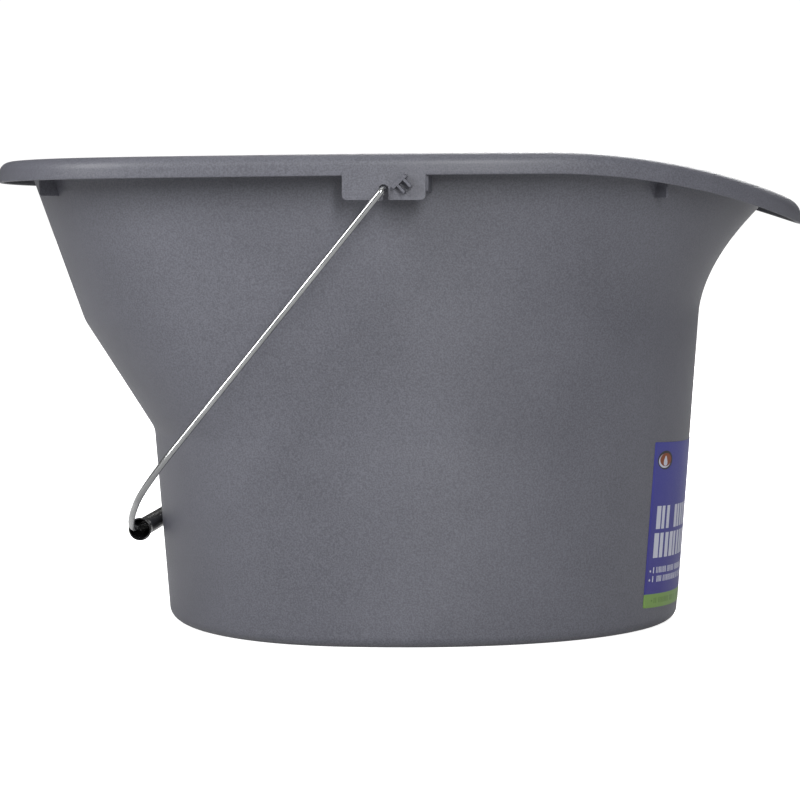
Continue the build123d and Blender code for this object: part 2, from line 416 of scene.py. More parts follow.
def new_group(name: str, inputs: dict[str, str], outputs: dict[str, str]) -> tuple[Tree, Socket, Socket]:
    """Starts a shader node group.

    Args:
        name: of the group.
        inputs: type of each input socket.
        outputs: type of each output socket.

    Returns:
        The group's tree, its inputs' sockets and its outputs' sockets.
    """
    tree = bpy.data.node_groups.new(name, "ShaderNodeTree")
    for key, kind in inputs.items():
        tree.interface.new_socket(key, in_out="INPUT", socket_type=kind)
    for key, kind in outputs.items():
        tree.interface.new_socket(key, in_out="OUTPUT", socket_type=kind)
    entry = tree.nodes.new("NodeGroupInput").outputs
    leave = tree.nodes.new("NodeGroupOutput").inputs
    return tree, entry, leave


def use_group(tree: Tree, group: Tree, inputs: dict) -> bpy.types.NodeOutputs:
    """Places a group in a tree and returns its outputs.

    Args:
        tree: the material's tree.
        group: the group's tree.
        inputs: a value, or a socket to link, for each input.

    Returns:
        The group node's outputs.
    """
    node = tree.nodes.new("ShaderNodeGroup")
    node.node_tree = group
    for key, value in inputs.items():
        if isinstance(value, Socket):
            tree.links.new(value, node.inputs[key])
        else:
            node.inputs[key].default_value = value
    return node.outputs


FLOAT = "NodeSocketFloat"
VECTOR = "NodeSocketVector"


def moulded_grain_group() -> Tree:
    """Fine grain that a spark-eroded mould leaves, with slow mottling of the tone.

    Height is noise at the grain's size with half as much noise at half the size. Speckle is that noise
    with its contrast stretched, and Mottle is slow noise, some hundred grains across.

    Returns:
        The group's tree.
    """
    tree, entry, leave = new_group(
        "moulded_grain", {"Point": VECTOR, "Grains per metre": FLOAT},
        {"Height": FLOAT, "Speckle": FLOAT, "Mottle": FLOAT},
    )
    fine = vector_calc(tree, "SCALE", entry["Point"])
    tree.links.new(entry["Grains per metre"], fine.inputs["Scale"])
    grain = noise(tree, fine.outputs[0], 1.0, 2.0, 0.6)
    tree.links.new(grain, leave["Height"])
    tree.links.new(ramp(tree, grain, 0.3, 0.7), leave["Speckle"])
    slow = vector_calc(tree, "SCALE", fine.outputs[0])
    slow.inputs["Scale"].default_value = 0.012
    tree.links.new(ramp(tree, noise(tree, slow.outputs[0], 1.0, 4.0, 0.6), 0.3, 0.7), leave["Mottle"])
    return tree


def scuff_group() -> Tree:
    """Sparse hair scratches: where noise, stretched fiftyfold along one axis, comes near its top.

    Returns:
        The group's tree.
    """
    tree, entry, leave = new_group(
        "hair_scuffs", {"Point": VECTOR, "Lines per metre": FLOAT, "Amount": FLOAT}, {"Mask": FLOAT}
    )
    turned = add(
        tree, "ShaderNodeMapping",
        {"Vector": entry["Point"], "Rotation": (0.5, 0.3, 0.9), "Scale": (1.0, 0.02, 1.0)},
    )
    dense = vector_calc(tree, "SCALE", turned.outputs[0])
    tree.links.new(entry["Lines per metre"], dense.inputs["Scale"])
    line = ramp(tree, noise(tree, dense.outputs[0], 1.0, 1.0), 0.68, 0.74)
    tree.links.new(calc(tree, "MULTIPLY", line, entry["Amount"]), leave["Mask"])
    return tree


def panel_group() -> Tree:
    """Rounded box: 1 where the length of max(|p - c| - h + r, 0), less the corner radius r, is below 0.

    Returns:
        The group's tree.
    """
    tree, entry, leave = new_group(
        "printed_panel", {"Point": VECTOR, "Centre": VECTOR, "Half size": VECTOR, "Corner": FLOAT},
        {"Mask": FLOAT},
    )
    from_centre = vector_calc(tree, "SUBTRACT", entry["Point"], entry["Centre"]).outputs[0]
    size = vector_calc(tree, "ABSOLUTE", from_centre).outputs[0]
    over = vector_calc(tree, "SUBTRACT", size, entry["Half size"]).outputs[0]
    corner = add(tree, "ShaderNodeCombineXYZ", {0: entry["Corner"], 1: entry["Corner"]}).outputs[0]
    grown = vector_calc(tree, "ADD", over, corner).outputs[0]
    outside = vector_calc(tree, "MAXIMUM", grown, (0.0, 0.0, 0.0)).outputs[0]
    reach = vector_calc(tree, "LENGTH", outside).outputs["Value"]
    edge = calc(tree, "SUBTRACT", reach, entry["Corner"])
    tree.links.new(ramp(tree, edge, -0.05, 0.08, 1.0, 0.0), leave["Mask"])
    return tree


def oval_group() -> Tree:
    """Oval: 1 where the length of (p - c) / h is below 1. Taper narrows it upwards, which makes a drop.

    Returns:
        The group's tree.
    """
    tree, entry, leave = new_group(
        "printed_oval", {"Point": VECTOR, "Centre": VECTOR, "Half size": VECTOR, "Taper": FLOAT},
        {"Mask": FLOAT},
    )
    from_centre = vector_calc(tree, "SUBTRACT", entry["Point"], entry["Centre"]).outputs[0]
    scaled = vector_calc(tree, "DIVIDE", from_centre, entry["Half size"]).outputs[0]
    parts = add(tree, "ShaderNodeSeparateXYZ", {0: scaled})
    narrow = calc(tree, "SUBTRACT", 1.0, calc(tree, "MULTIPLY", parts.outputs[1], entry["Taper"]))
    across = calc(tree, "DIVIDE", parts.outputs[0], narrow)
    shape = add(tree, "ShaderNodeCombineXYZ", {0: across, 1: parts.outputs[1]}).outputs[0]
    reach = vector_calc(tree, "LENGTH", shape).outputs["Value"]
    tree.links.new(ramp(tree, reach, 0.985, 1.025, 1.0, 0.0), leave["Mask"])
    return tree


def block_row_group() -> Tree:
    """Row of plain upright blocks that stand for print: each pitch holds a block of chance width.

    The place in the pitch is compared with the fill, made up to a third narrower by white noise on the
    pitch's number. A pitch whose noise falls under the gap stays empty.

    Returns:
        The group's tree.
    """
    tree, entry, leave = new_group(
        "block_row",
        {"Point": VECTOR, "Centre": VECTOR, "Half size": VECTOR, "Pitch": FLOAT, "Fill": FLOAT, "Gap": FLOAT},
        {"Mask": FLOAT},
    )
    from_centre = vector_calc(tree, "SUBTRACT", entry["Point"], entry["Centre"]).outputs[0]
    start = vector_calc(tree, "ADD", from_centre, entry["Half size"]).outputs[0]
    parts = add(tree, "ShaderNodeSeparateXYZ", {0: start})
    place = calc(tree, "DIVIDE", parts.outputs[0], entry["Pitch"])
    number = calc(tree, "FLOOR", place)
    chance = add(
        tree, "ShaderNodeTexWhiteNoise", {"W": calc(tree, "ADD", number, entry["Pitch"])},
        noise_dimensions="1D",
    ).outputs["Value"]
    share = calc(tree, "SUBTRACT", 1.0, calc(tree, "MULTIPLY", chance, 0.33))
    width = calc(tree, "MULTIPLY", entry["Fill"], share)
    beside = calc(tree, "SUBTRACT", calc(tree, "FRACT", place), width)
    block = ramp(tree, beside, -0.02, 0.02, 1.0, 0.0)
    kept = calc(tree, "GREATER_THAN", chance, entry["Gap"])
    size = vector_calc(tree, "ABSOLUTE", from_centre).outputs[0]
    over = vector_calc(tree, "SUBTRACT", size, entry["Half size"]).outputs[0]
    sides = add(tree, "ShaderNodeSeparateXYZ", {0: over})
    worst = calc(tree, "MAXIMUM", sides.outputs[0], sides.outputs[1])
    window = ramp(tree, worst, -0.05, 0.05, 1.0, 0.0)
    mask = calc(tree, "MULTIPLY", calc(tree, "MULTIPLY", block, kept), window)
    tree.links.new(mask, leave["Mask"])
    return tree


@dataclass(frozen=True)
class Groups:
    """Shader groups that the finishes share."""

    grain: Tree
    scuffs: Tree
    panel: Tree
    oval: Tree
    blocks: Tree

    @classmethod
    def build(cls) -> "Groups":
        """Builds each group once."""
        return cls(moulded_grain_group(), scuff_group(), panel_group(), oval_group(), block_row_group())


def new_material(name: str, constants: dict) -> tuple[bpy.types.Material, Tree, bpy.types.Node]:
    """Starts a material.

    Args:
        name: of the material.
        constants: values set on the shader's own sockets.

    Returns:
        The material, its tree and its Principled shader, already joined to the output.
    """
    material = bpy.data.materials.new(name)
    material.use_nodes = True
    tree = material.node_tree
    tree.nodes.clear()
    shader = add(tree, "ShaderNodeBsdfPrincipled", constants)
    add(tree, "ShaderNodeOutputMaterial", {"Surface": shader.outputs[0]})
    return material, tree, shader


def set_bump(tree: Tree, shader: bpy.types.Node, height: Socket, strength: float, distance: float) -> None:
    """Tilts the shader's normal by a height."""
    bump = add(tree, "ShaderNodeBump", {"Height": height, "Strength": strength, "Distance": distance})
    tree.links.new(bump.outputs[0], shader.inputs["Normal"])


def object_point(tree: Tree) -> Socket:
    """The surface's place in the piece's own frame, in metres."""
    return tree.nodes.new("ShaderNodeTexCoord").outputs["Object"]


def uv_point(tree: Tree) -> Socket:
    """The surface's place on the piece's own texture map."""
    return tree.nodes.new("ShaderNodeTexCoord").outputs["UV"]


@dataclass(frozen=True)
class TubPlastic:
    """Slate-grey moulded polypropylene with a fine even grain, a little paler where it was rubbed."""

    dark: tuple[float, float, float, float] = (0.064, 0.065, 0.079, 1.0)
    light: tuple[float, float, float, float] = (0.112, 0.114, 0.136, 1.0)
    rubbed: tuple[float, float, float, float] = (0.135, 0.137, 0.150, 1.0)
    grains_per_metre: float = 1250.0

    def material(self, groups: Groups) -> bpy.types.Material:
        """Builds the material.

        Args:
            groups: the shared groups.

        Returns:
            The material.
        """
        material, tree, shader = new_material("tub_plastic", {"IOR": 1.49})
        point = object_point(tree)
        grain = use_group(tree, groups.grain, {"Point": point, "Grains per metre": self.grains_per_metre})
        scuffs = use_group(tree, groups.scuffs, {"Point": point, "Lines per metre": 900.0, "Amount": 0.5})
        mottle = calc(tree, "MULTIPLY", grain["Mottle"], 0.25)
        tone = calc(tree, "ADD", calc(tree, "MULTIPLY", grain["Speckle"], 0.75), mottle)
        base = blend_colours(tree, tone, self.dark, self.light)
        height = add(tree, "ShaderNodeSeparateXYZ", {0: point}).outputs[2]
        foot = ramp(tree, height, 0.0, 5 * MM, 0.7, 0.0)
        rubbed = calc(tree, "MULTIPLY", foot, grain["Speckle"])
        worn = calc(tree, "MAXIMUM", rubbed, calc(tree, "MULTIPLY", scuffs["Mask"], 0.35))
        tree.links.new(blend_colours(tree, worn, base, self.rubbed), shader.inputs["Base Color"])
        rough = calc(tree, "ADD", 0.40, calc(tree, "MULTIPLY", grain["Speckle"], 0.12))
        tree.links.new(rough, shader.inputs["Roughness"])
        set_bump(tree, shader, grain["Height"], 0.35, 0.25 * MM)
        return material


@dataclass(frozen=True)
class ZincWire:
    """Bright zinc-plated steel wire with drawing lines along it."""

    bright: tuple[float, float, float, float] = (0.52, 0.525, 0.53, 1.0)
    dull: tuple[float, float, float, float] = (0.36, 0.365, 0.37, 1.0)
    lines_around: float = 5000.0

    def material(self, groups: Groups) -> bpy.types.Material:
        """Builds the material.

        Args:
            groups: the shared groups.

        Returns:
            The material.
        """
        material, tree, shader = new_material("zinc_wire", {"Metallic": 1.0})
        lines = add(
            tree, "ShaderNodeMapping",
            {"Vector": uv_point(tree), "Scale": (self.lines_around, self.lines_around / 60, 1.0)},
        ).outputs[0]
        drawn = noise(tree, lines, 1.0, 3.0, 0.6)
        grain = use_group(tree, groups.grain, {"Point": object_point(tree), "Grains per metre": 2500.0})
        mottle = calc(tree, "MULTIPLY", grain["Mottle"], 0.4)
        tone = ramp(tree, calc(tree, "ADD", calc(tree, "MULTIPLY", drawn, 0.6), mottle), 0.2, 0.8)
        tree.links.new(blend_colours(tree, tone, self.dull, self.bright), shader.inputs["Base Color"])
        tree.links.new(ramp(tree, drawn, 0.2, 0.8, 0.28, 0.20), shader.inputs["Roughness"])
        set_bump(tree, shader, drawn, 0.05, 0.03 * MM)
        return material


@dataclass(frozen=True)
class GripPlastic:
    """Glossy black extruded tube, with a faint grain and hair scuffs."""

    deep: tuple[float, float, float, float] = (0.006, 0.006, 0.007, 1.0)
    worn: tuple[float, float, float, float] = (0.030, 0.030, 0.032, 1.0)

    def material(self, groups: Groups) -> bpy.types.Material:
        """Builds the material.

        Args:
            groups: the shared groups.

        Returns:
            The material.
        """
        material, tree, shader = new_material("grip_plastic", {"IOR": 1.5})
        point = object_point(tree)
        grain = use_group(tree, groups.grain, {"Point": point, "Grains per metre": 1800.0})
        scuffs = use_group(tree, groups.scuffs, {"Point": point, "Lines per metre": 1500.0, "Amount": 0.8})
        worn = calc(tree, "MAXIMUM", scuffs["Mask"], calc(tree, "MULTIPLY", grain["Mottle"], 0.25))
        tree.links.new(blend_colours(tree, worn, self.deep, self.worn), shader.inputs["Base Color"])
        tree.links.new(calc(tree, "ADD", 0.16, calc(tree, "MULTIPLY", worn, 0.2)), shader.inputs["Roughness"])
        set_bump(tree, shader, grain["Height"], 0.12, 0.08 * MM)
        return material


@dataclass(frozen=True)
class LabelPrint:
    """Printed film: blue ground, green band, an oval badge with a drop, and blocks in place of words.

    Places are in millimetres from the label's lower left corner, as seen from the nose.
    """

    width: float
    height: float
    low_blue: tuple[float, float, float, float] = (0.036, 0.031, 0.180, 1.0)
    high_blue: tuple[float, float, float, float] = (0.040, 0.042, 0.215, 1.0)
    pale: tuple[float, float, float, float] = (0.42, 0.43, 0.50, 1.0)
    green: tuple[float, float, float, float] = (0.195, 0.350, 0.002, 1.0)
    dark_green: tuple[float, float, float, float] = (0.050, 0.105, 0.015, 1.0)
    ring: tuple[float, float, float, float] = (0.016, 0.014, 0.014, 1.0)
    brown: tuple[float, float, float, float] = (0.170, 0.040, 0.010, 1.0)
    band_height: float = 7.0
    badge: tuple[float, float] = (9.4, 75.8)
    badge_half: tuple[float, float] = (6.6, 4.8)
    bubbles: tuple[tuple[tuple[float, float], float], ...] = (
        ((80.0, 62.0), 9.0), ((95.5, 50.0), 6.0), ((90.0, 74.5), 4.2), ((70.0, 73.0), 3.0),
        ((84.0, 43.0), 2.4),
    )

    def material(self, groups: Groups) -> bpy.types.Material:
        """Builds the material.

        Args:
            groups: the shared groups.

        Returns:
            The material.
        """
        material, tree, shader = new_material("label_film", {"IOR": 1.36, "Coat Roughness": 0.3})
        mm = vector_calc(tree, "MULTIPLY", uv_point(tree), (self.width, self.height, 0.0)).outputs[0]
        up = add(tree, "ShaderNodeSeparateXYZ", {0: mm}).outputs[1]
        cloud = use_group(tree, groups.grain, {"Point": object_point(tree), "Grains per metre": 1800.0})
        mottle = calc(tree, "MULTIPLY", cloud["Mottle"], 0.1)
        shade = calc(tree, "ADD", ramp(tree, up, 0.0, self.height, 0.0, 0.9), mottle)
        colour = blend_colours(tree, shade, self.low_blue, self.high_blue)
        for mask, ink in self.print_masks(tree, groups, mm):
            colour = blend_colours(tree, mask, colour, ink)
        tree.links.new(colour, shader.inputs["Base Color"])
        tree.links.new(ramp(tree, cloud["Speckle"], 0.0, 1.0, 0.42, 0.5), shader.inputs["Roughness"])
        tree.links.new(ramp(tree, cloud["Mottle"], 0.0, 1.0, 0.0, 0.08), shader.inputs["Coat Weight"])
        set_bump(tree, shader, cloud["Height"], 0.1, 0.08 * MM)
        return material

    def print_masks(self, tree: Tree, groups: Groups, mm: Socket) -> list[tuple[Socket, object]]:
        """Inks from the bottom layer up.

        Args:
            tree: the material's tree.
            groups: the shared groups.
            mm: place on the label in millimetres.

        Returns:
            A mask and its ink's colour for each layer.
        """
        middle = self.width / 2

        def panel(centre: tuple, half: tuple, corner: float) -> Socket:
            """Mask of a rounded box."""
            values = {"Point": mm, "Centre": (*centre, 0.0), "Half size": (*half, 100.0), "Corner": corner}
            return use_group(tree, groups.panel, values)["Mask"]

        def oval(centre: tuple, half: tuple, taper: float = 0.0) -> Socket:
            """Mask of an oval or a drop."""
            values = {"Point": mm, "Centre": (*centre, 0.0), "Half size": (*half, 1.0), "Taper": taper}
            return use_group(tree, groups.oval, values)["Mask"]

        def row(
            left: float, right: float, low: float, high: float, pitch: float, fill: float, gap: float
        ) -> Socket:
            """Mask of a row of blocks.

            Args:
                left: edge.
                right: edge.
                low: edge.
                high: edge.
                pitch: from block to block.
                fill: share of the pitch that the widest block fills.
                gap: share of the blocks that are left out.

            Returns:
                The mask.
            """
            centre = ((left + right) / 2, (low + high) / 2, 0.0)
            half = ((right - left) / 2, (high - low) / 2, 100.0)
            values = {"Point": mm, "Centre": centre, "Half size": half}
            values |= {"Pitch": pitch, "Fill": fill, "Gap": gap}
            return use_group(tree, groups.blocks, values)["Mask"]

        x, y = self.badge
        wide, tall = self.badge_half
        layers = []
        for centre, radius in self.bubbles:
            outer = oval(centre, (radius, radius))
            rim = calc(tree, "SUBTRACT", outer, oval(centre, (radius * 0.9, radius * 0.9)))
            glint = (centre[0] - radius * 0.4, centre[1] + radius * 0.4)
            layers.append((calc(tree, "MULTIPLY", rim, 0.6), self.pale))
            shine = oval(glint, (radius * 0.18, radius * 0.12))
            layers.append((calc(tree, "MULTIPLY", shine, 0.8), self.pale))
        layers += [
            (panel((middle, self.band_height / 2), (middle + 1, self.band_height / 2), 0.0), self.green),
            (calc(tree, "MULTIPLY", row(8.0, 100.0, 2.2, 5.0, 1.5, 0.78, 0.16), 0.55), self.dark_green),
            (calc(tree, "MULTIPLY", oval((6.2, 3.6), (0.6, 0.6)), 0.6), self.dark_green),
            (row(5.2, 62.0, 40.5, 52.3, 4.7, 0.84, 0.1), self.pale),
            (row(4.6, 58.0, 25.7, 38.4, 5.1, 0.84, 0.06), self.pale),
            (oval((3.4, 18.9), (0.6, 0.6)), self.pale),
            (row(5.6, 78.0, 17.8, 20.9, 1.3, 0.72, 0.14), self.pale),
            (oval((3.2, 14.3), (0.6, 0.6)), self.pale),
            (row(5.4, 70.0, 13.2, 16.3, 1.25, 0.72, 0.12), self.pale),
            (oval((x, y), (wide, tall)), self.ring),
            (oval((x - 0.5, y - 0.35), (wide * 0.80, tall * 0.76)), self.pale),
            (oval((x + 0.2, y + 0.2), (wide * 0.76, tall * 0.70)), self.brown),
            (oval((x, y - 0.3), (1.5, 2.6), 0.55), self.pale),
        ]
        return layers


# ---------------------------------------------------------------- the tub


@dataclass
class Tub:
    """One-piece tub: an oval wall in three zones, a flanged rim that droops at the nose, ears and ribs.

    Lengths are in metres. The rim's length comes from the frame.
    """

    rim_length: float
    rim_width: float
    rim_top: float
    rim_rise: float = 2.8 * MM
    crest_x: float = 83.5 * MM
    droop_radius: float = 325 * MM
    rim_height: float = 10.4 * MM
    rim_edge_radius: float = 5.6 * MM
    skirt_wall: float = 2.2 * MM
    flange_wall: float = 2.2 * MM
    lip_reach: float = 1.6 * MM
    back_power: float = 5.0
    nose_power: float = 2.2
    rim_widest_x: float = -23.5 * MM
    wall: float = 2.2 * MM
    ledge_back: float = 11.5 * MM
    ledge_nose: float = 20 * MM
    ledge_side: float = 18.5 * MM
    upper_level: float = 157.5 * MM
    lower_level: float = 101.5 * MM
    upper_taper_back: float = 29.8 * MM
    upper_taper_side: float = 7.0 * MM
    flare_reach: float = 32.4 * MM
    flare_power: float = 1.85
    band_taper_back: float = 36.7 * MM
    band_taper_nose: float = 3.6 * MM
    band_taper_side: float = 5.0 * MM
    lower_taper_back: float = 6.8 * MM
    lower_taper_nose: float = 6.8 * MM
    lower_taper_side: float = 3.2 * MM
    foot_power: float = 2.15
    foot_widest_x: float = -15.5 * MM
    foot_radius: float = 5.6 * MM
    foot_recess: float = 2.4 * MM
    foot_rail: float = 13 * MM
    floor_wall: float = 2.6 * MM
    kink_reach: float = 3 * MM
    steps_around: int = 420

    def __post_init__(self) -> None:
        """Works out the rim line's slope and arc, and the angles round the tub."""
        self.back_x = -self.rim_length / 2
        self.nose_x = self.rim_length / 2
        self.slope = math.atan2(self.rim_rise, self.crest_x - self.back_x)
        self.droop_x = self.crest_x + self.droop_radius * math.sin(self.slope)
        self.droop_z = self.rim_top - self.droop_radius * math.cos(self.slope)
        self.angles = np.arange(self.steps_around) * FULL_TURN / self.steps_around

    def rim_line(self, x: np.ndarray) -> np.ndarray:
        """Height of the rim's top: a straight rise from the back, then a tangent arc down to the nose.

        Args:
            x: places along the tub.

        Returns:
            The heights.
        """
        rise = self.rim_top - (self.crest_x - x) * math.tan(self.slope)
        arc = self.droop_z + np.sqrt(np.maximum(self.droop_radius**2 - (x - self.droop_x) ** 2, 0))
        return np.where(x <= self.crest_x, rise, arc)

    def wall_ends(self, level: np.ndarray) -> tuple[np.ndarray, np.ndarray, np.ndarray]:
        """Back x, nose x and half width of the outer wall at each level.

        Above the upper level the back and sides lean in a straight line, and the nose follows a power of
        the height. The band between the levels and the zone below it lean in straight lines.

        Args:
            level: heights.

        Returns:
            Back x, nose x and half width at each of them.
        """
        nose_top = float(self.rim_line(np.array(self.nose_x)))
        above = np.clip((self.rim_top - level) / (self.rim_top - self.upper_level), -1, 1)
        share = np.clip((level - self.upper_level) / (nose_top - self.upper_level), 0, 2)
        flare = 1 - share**self.flare_power
        band = np.clip((self.upper_level - level) / (self.upper_level - self.lower_level), 0, 1)
        low = np.clip((self.lower_level - level) / self.lower_level, 0, 1)
        back = self.back_x + self.ledge_back + self.upper_taper_back * above
        back = back + self.band_taper_back * band + self.lower_taper_back * low
        nose = self.nose_x - self.ledge_nose - self.flare_reach * flare
        nose = nose - self.band_taper_nose * band - self.lower_taper_nose * low
        half = self.rim_width / 2 - self.ledge_side - self.upper_taper_side * above
        half = half - self.band_taper_side * band - self.lower_taper_side * low
        return back, nose, half

    def wall_ring(self, level: np.ndarray | float, inset: float) -> np.ndarray:
        """Plan ring of the wall: y = b sqrt(1 - |cos a|^n) at x = c + r cos a.

        The reach r and the power n are those of the nose where cos a is positive, else those of the back.

        Args:
            level: height, or one for each angle round the tub.
            inset: how far inside the outer wall.

        Returns:
            The ring, as (around, 3).
        """
        level = np.broadcast_to(np.asarray(level, float), self.angles.shape)
        back, nose, half = self.wall_ends(level)
        up = np.minimum(level / self.rim_top, 1)
        widest = self.foot_widest_x + (self.rim_widest_x - self.foot_widest_x) * up
        along = np.cos(self.angles)
        back_n = self.foot_power + (self.back_power - 0.6 - self.foot_power) * up
        nose_n = self.foot_power + (self.nose_power - self.foot_power) * up
        power = np.where(along >= 0, nose_n, back_n)
        reach = np.where(along >= 0, nose - inset - widest, widest - back - inset)
        bulge = np.sqrt(np.maximum(1 - np.abs(along) ** power, 0))
        side = (half - inset) * bulge * np.sign(np.sin(self.angles))
        return np.stack([widest + reach * along, side, level], -1)

    def rim_ring(self, inset: float) -> np.ndarray:
        """Plan ring of the rim, moved in square to itself; its height is left at 0.

        Args:
            inset: how far inside the skirt's outside.

        Returns:
            The ring, as (around, 3).
        """
        along = np.cos(self.angles)
        power = np.where(along >= 0, self.nose_power, self.back_power)
        reach = np.where(along >= 0, self.nose_x - self.rim_widest_x, self.rim_widest_x - self.back_x)
        bulge = np.sqrt(np.maximum(1 - np.abs(along) ** power, 0))
        side = self.rim_width / 2 * bulge * np.sign(np.sin(self.angles))
        ring = np.stack([self.rim_widest_x + reach * along, side], -1)
        run = np.roll(ring, -1, 0) - np.roll(ring, 1, 0)
        out = np.stack([run[:, 1], -run[:, 0]], -1) / np.linalg.norm(run, axis=1)[:, None]
        flat = ring - out * inset
        return np.concatenate([flat, np.zeros((len(flat), 1))], 1)

    def at_rim(self, ring: np.ndarray, drop: float) -> np.ndarray:
        """The ring raised to the rim's top line, less a drop."""
        return np.stack([ring[:, 0], ring[:, 1], self.rim_line(ring[:, 0]) - drop], -1)

    def wall_meets_rim(self, inset: float, drop: float) -> np.ndarray:
        """Ring where the wall meets the dropped rim line, found by repeating z = rim line at x(z).

        Args:
            inset: how far inside the outer wall.
            drop: below the rim's top line.

        Returns:
            The ring, as (around, 3).
        """
        ring = self.wall_ring(self.rim_top - drop, inset)
        for _ in range(14):
            ring = self.wall_ring(self.rim_line(ring[:, 0]) - drop, inset)
        return self.at_rim(ring, drop)

    @staticmethod
    def run(first: np.ndarray, last: np.ndarray, count: int) -> list[np.ndarray]:
        """Rings in straight steps from the first, left out, to the last."""
        return [first + (last - first) * step / count for step in range(1, count + 1)]

    @staticmethod
    def bend(
        before: np.ndarray, corner: np.ndarray, after: np.ndarray, reach: float, count: int = 5
    ) -> list[np.ndarray]:
        """Rings of a rounded corner: (1-t)^2 A + 2t(1-t) C + t^2 B, with A and B one reach from C.

        Args:
            before: ring before the corner.
            corner: the corner's ring.
            after: ring after the corner.
            reach: how far the rounding starts from the corner.
            count: of rings.

        Returns:
            The rings.
        """
        back = before - corner
        ahead = after - corner
        a = corner + back / np.linalg.norm(back, axis=1)[:, None] * reach
        b = corner + ahead / np.linalg.norm(ahead, axis=1)[:, None] * reach
        return [(1 - t) ** 2 * a + 2 * t * (1 - t) * corner + t**2 * b for t in np.linspace(0, 1, count)]

    def foot_turn(self, bottom: float, inset: float) -> list[np.ndarray]:
        """Rings of the rounded foot, from the floor up to the wall: a quarter circle in each section.

        Args:
            bottom: lowest height.
            inset: how far inside the outer wall.

        Returns:
            The rings.
        """
        radius = self.foot_radius - inset
        turns = np.radians(np.linspace(0, 90, 9))
        return [
            self.wall_ring(bottom + radius * (1 - math.cos(t)), inset + radius * (1 - math.sin(t)))
            for t in turns
        ]

    def wall_zones(self, inset: float, bottom: float, top: np.ndarray) -> list[np.ndarray]:
        """Rings of the wall from the foot to its top ring, with soft kinks at the two levels.

        Args:
            inset: how far inside the outer wall.
            bottom: height of the first ring.
            top: the last ring.

        Returns:
            The rings.
        """
        start = self.wall_ring(bottom, inset)
        low = self.wall_ring(self.lower_level, inset)
        high = self.wall_ring(self.upper_level, inset)
        above = self.wall_ring(self.upper_level + 2 * self.kink_reach, inset)
        rings = []
        for before, corner, after, count in ((start, low, high, 10), (low, high, above, 8)):
            kink = self.bend(before, corner, after, self.kink_reach, 7)
            rings += self.run(rings[-1] if rings else start, kink[0], count) + kink[1:]
        first = rings[-1][:, 2]
        climb = np.linspace(0, 1, 19)[1:]
        return rings + [self.wall_ring(first + (top[:, 2] - first) * share, inset) for share in climb]

    def shell_rings(self) -> list[np.ndarray]:
        """Rings from the middle of the floor, up the inside, over the rim and down the outside.

        Returns:
            The rings, each as (around, 3).
        """
        floor = self.foot_recess + self.floor_wall
        middle = np.array([self.foot_widest_x, 0.0, 0.0])
        inner_foot = self.foot_turn(floor, self.wall)
        inner_top = self.wall_meets_rim(self.wall, 0.0)
        inner = self.wall_zones(self.wall, floor + self.foot_radius - self.wall, inner_top)
        outer_top = self.wall_meets_rim(0.0, self.flange_wall)
        outer = self.wall_zones(0.0, self.foot_radius, outer_top)
        edge_start = self.at_rim(self.rim_ring(self.rim_edge_radius), 0.0)
        lip = self.bend(inner[-2], inner_top, edge_start, self.lip_reach)
        radius = self.rim_edge_radius
        turns = np.radians(np.linspace(0, 90, 13))
        edge = [
            self.at_rim(self.rim_ring(radius * (1 - math.sin(t))), radius * (1 - math.cos(t))) for t in turns
        ]
        under = self.under_rings(outer_top, outer[-2])
        foot = self.foot_turn(0.0, 0.0)
        rail_corner = self.wall_ring(0.0, self.foot_rail)
        recess = rail_corner + (0, 0, self.foot_recess)
        nub = (recess - middle) * (0.045, 0.045, 1) + middle
        inward = self.bend(foot[0], rail_corner, recess, 0.6 * MM)
        inward += self.bend(rail_corner, recess, nub, 0.6 * MM)
        shares = np.linspace(0.04, 1, 14)[:-1]
        rings = [middle + (inner_foot[0] - middle) * (share, share, 1) for share in shares]
        rings += inner_foot + inner[:-1] + lip + self.run(lip[-1], edge[0], 7) + edge[1:] + under
        rings += outer[-2::-1] + foot[::-1] + inward + self.run(inward[-1], nub, 12)
        return rings + [nub - (0, 0, 0.5 * MM), nub * (0.7, 0.7, 1) + middle * 0.3 - (0, 0, 0.6 * MM)]

    def under_rings(self, meeting: np.ndarray, below: np.ndarray) -> list[np.ndarray]:
        """Rings down the skirt, round its lower edge, up inside it and along under the flange to the wall.

        Args:
            meeting: ring where the flange meets the wall.
            below: ring of the wall under it.

        Returns:
            The rings.
        """
        outside = self.rim_ring(0.0)
        inside = self.rim_ring(self.skirt_wall)
        top = self.at_rim(outside, self.rim_edge_radius)
        low_out = self.at_rim(outside, self.rim_height)
        low_in = self.at_rim(inside, self.rim_height)
        corner = self.at_rim(inside, self.flange_wall)
        edge = self.bend(top, low_out, low_in, 0.5 * MM, 4)
        inner_edge = self.bend(low_out, low_in, corner, 0.5 * MM, 4)
        turn = self.bend(low_in, corner, meeting, self.rim_edge_radius - self.skirt_wall, 6)
        join = self.bend(corner, meeting, below, 0.8 * MM, 4)
        rings = self.run(top, edge[0], 3) + edge[1:] + inner_edge
        rings += self.run(inner_edge[-1], turn[0], 2) + turn[1:]
        return rings + self.run(turn[-1], join[0], 5) + join[1:]

    def shell_skin(self) -> Skin:
        """The closed shell: rings stacked along the section, closed by a point inside and one underneath.

        Returns:
            The skin, facing outwards.
        """
        grid = np.stack(self.shell_rings(), 1)
        around = np.linalg.norm(np.roll(grid[:, 60], -1, 0) - grid[:, 60], axis=1)
        u = np.concatenate([[0.0], np.cumsum(around)])
        v = lengths_along(grid[0])
        inner = grid[:, 0].mean(0)
        under = grid[:, -1].mean(0)
        return grid_skin(grid, u, v, poles=(inner, under))

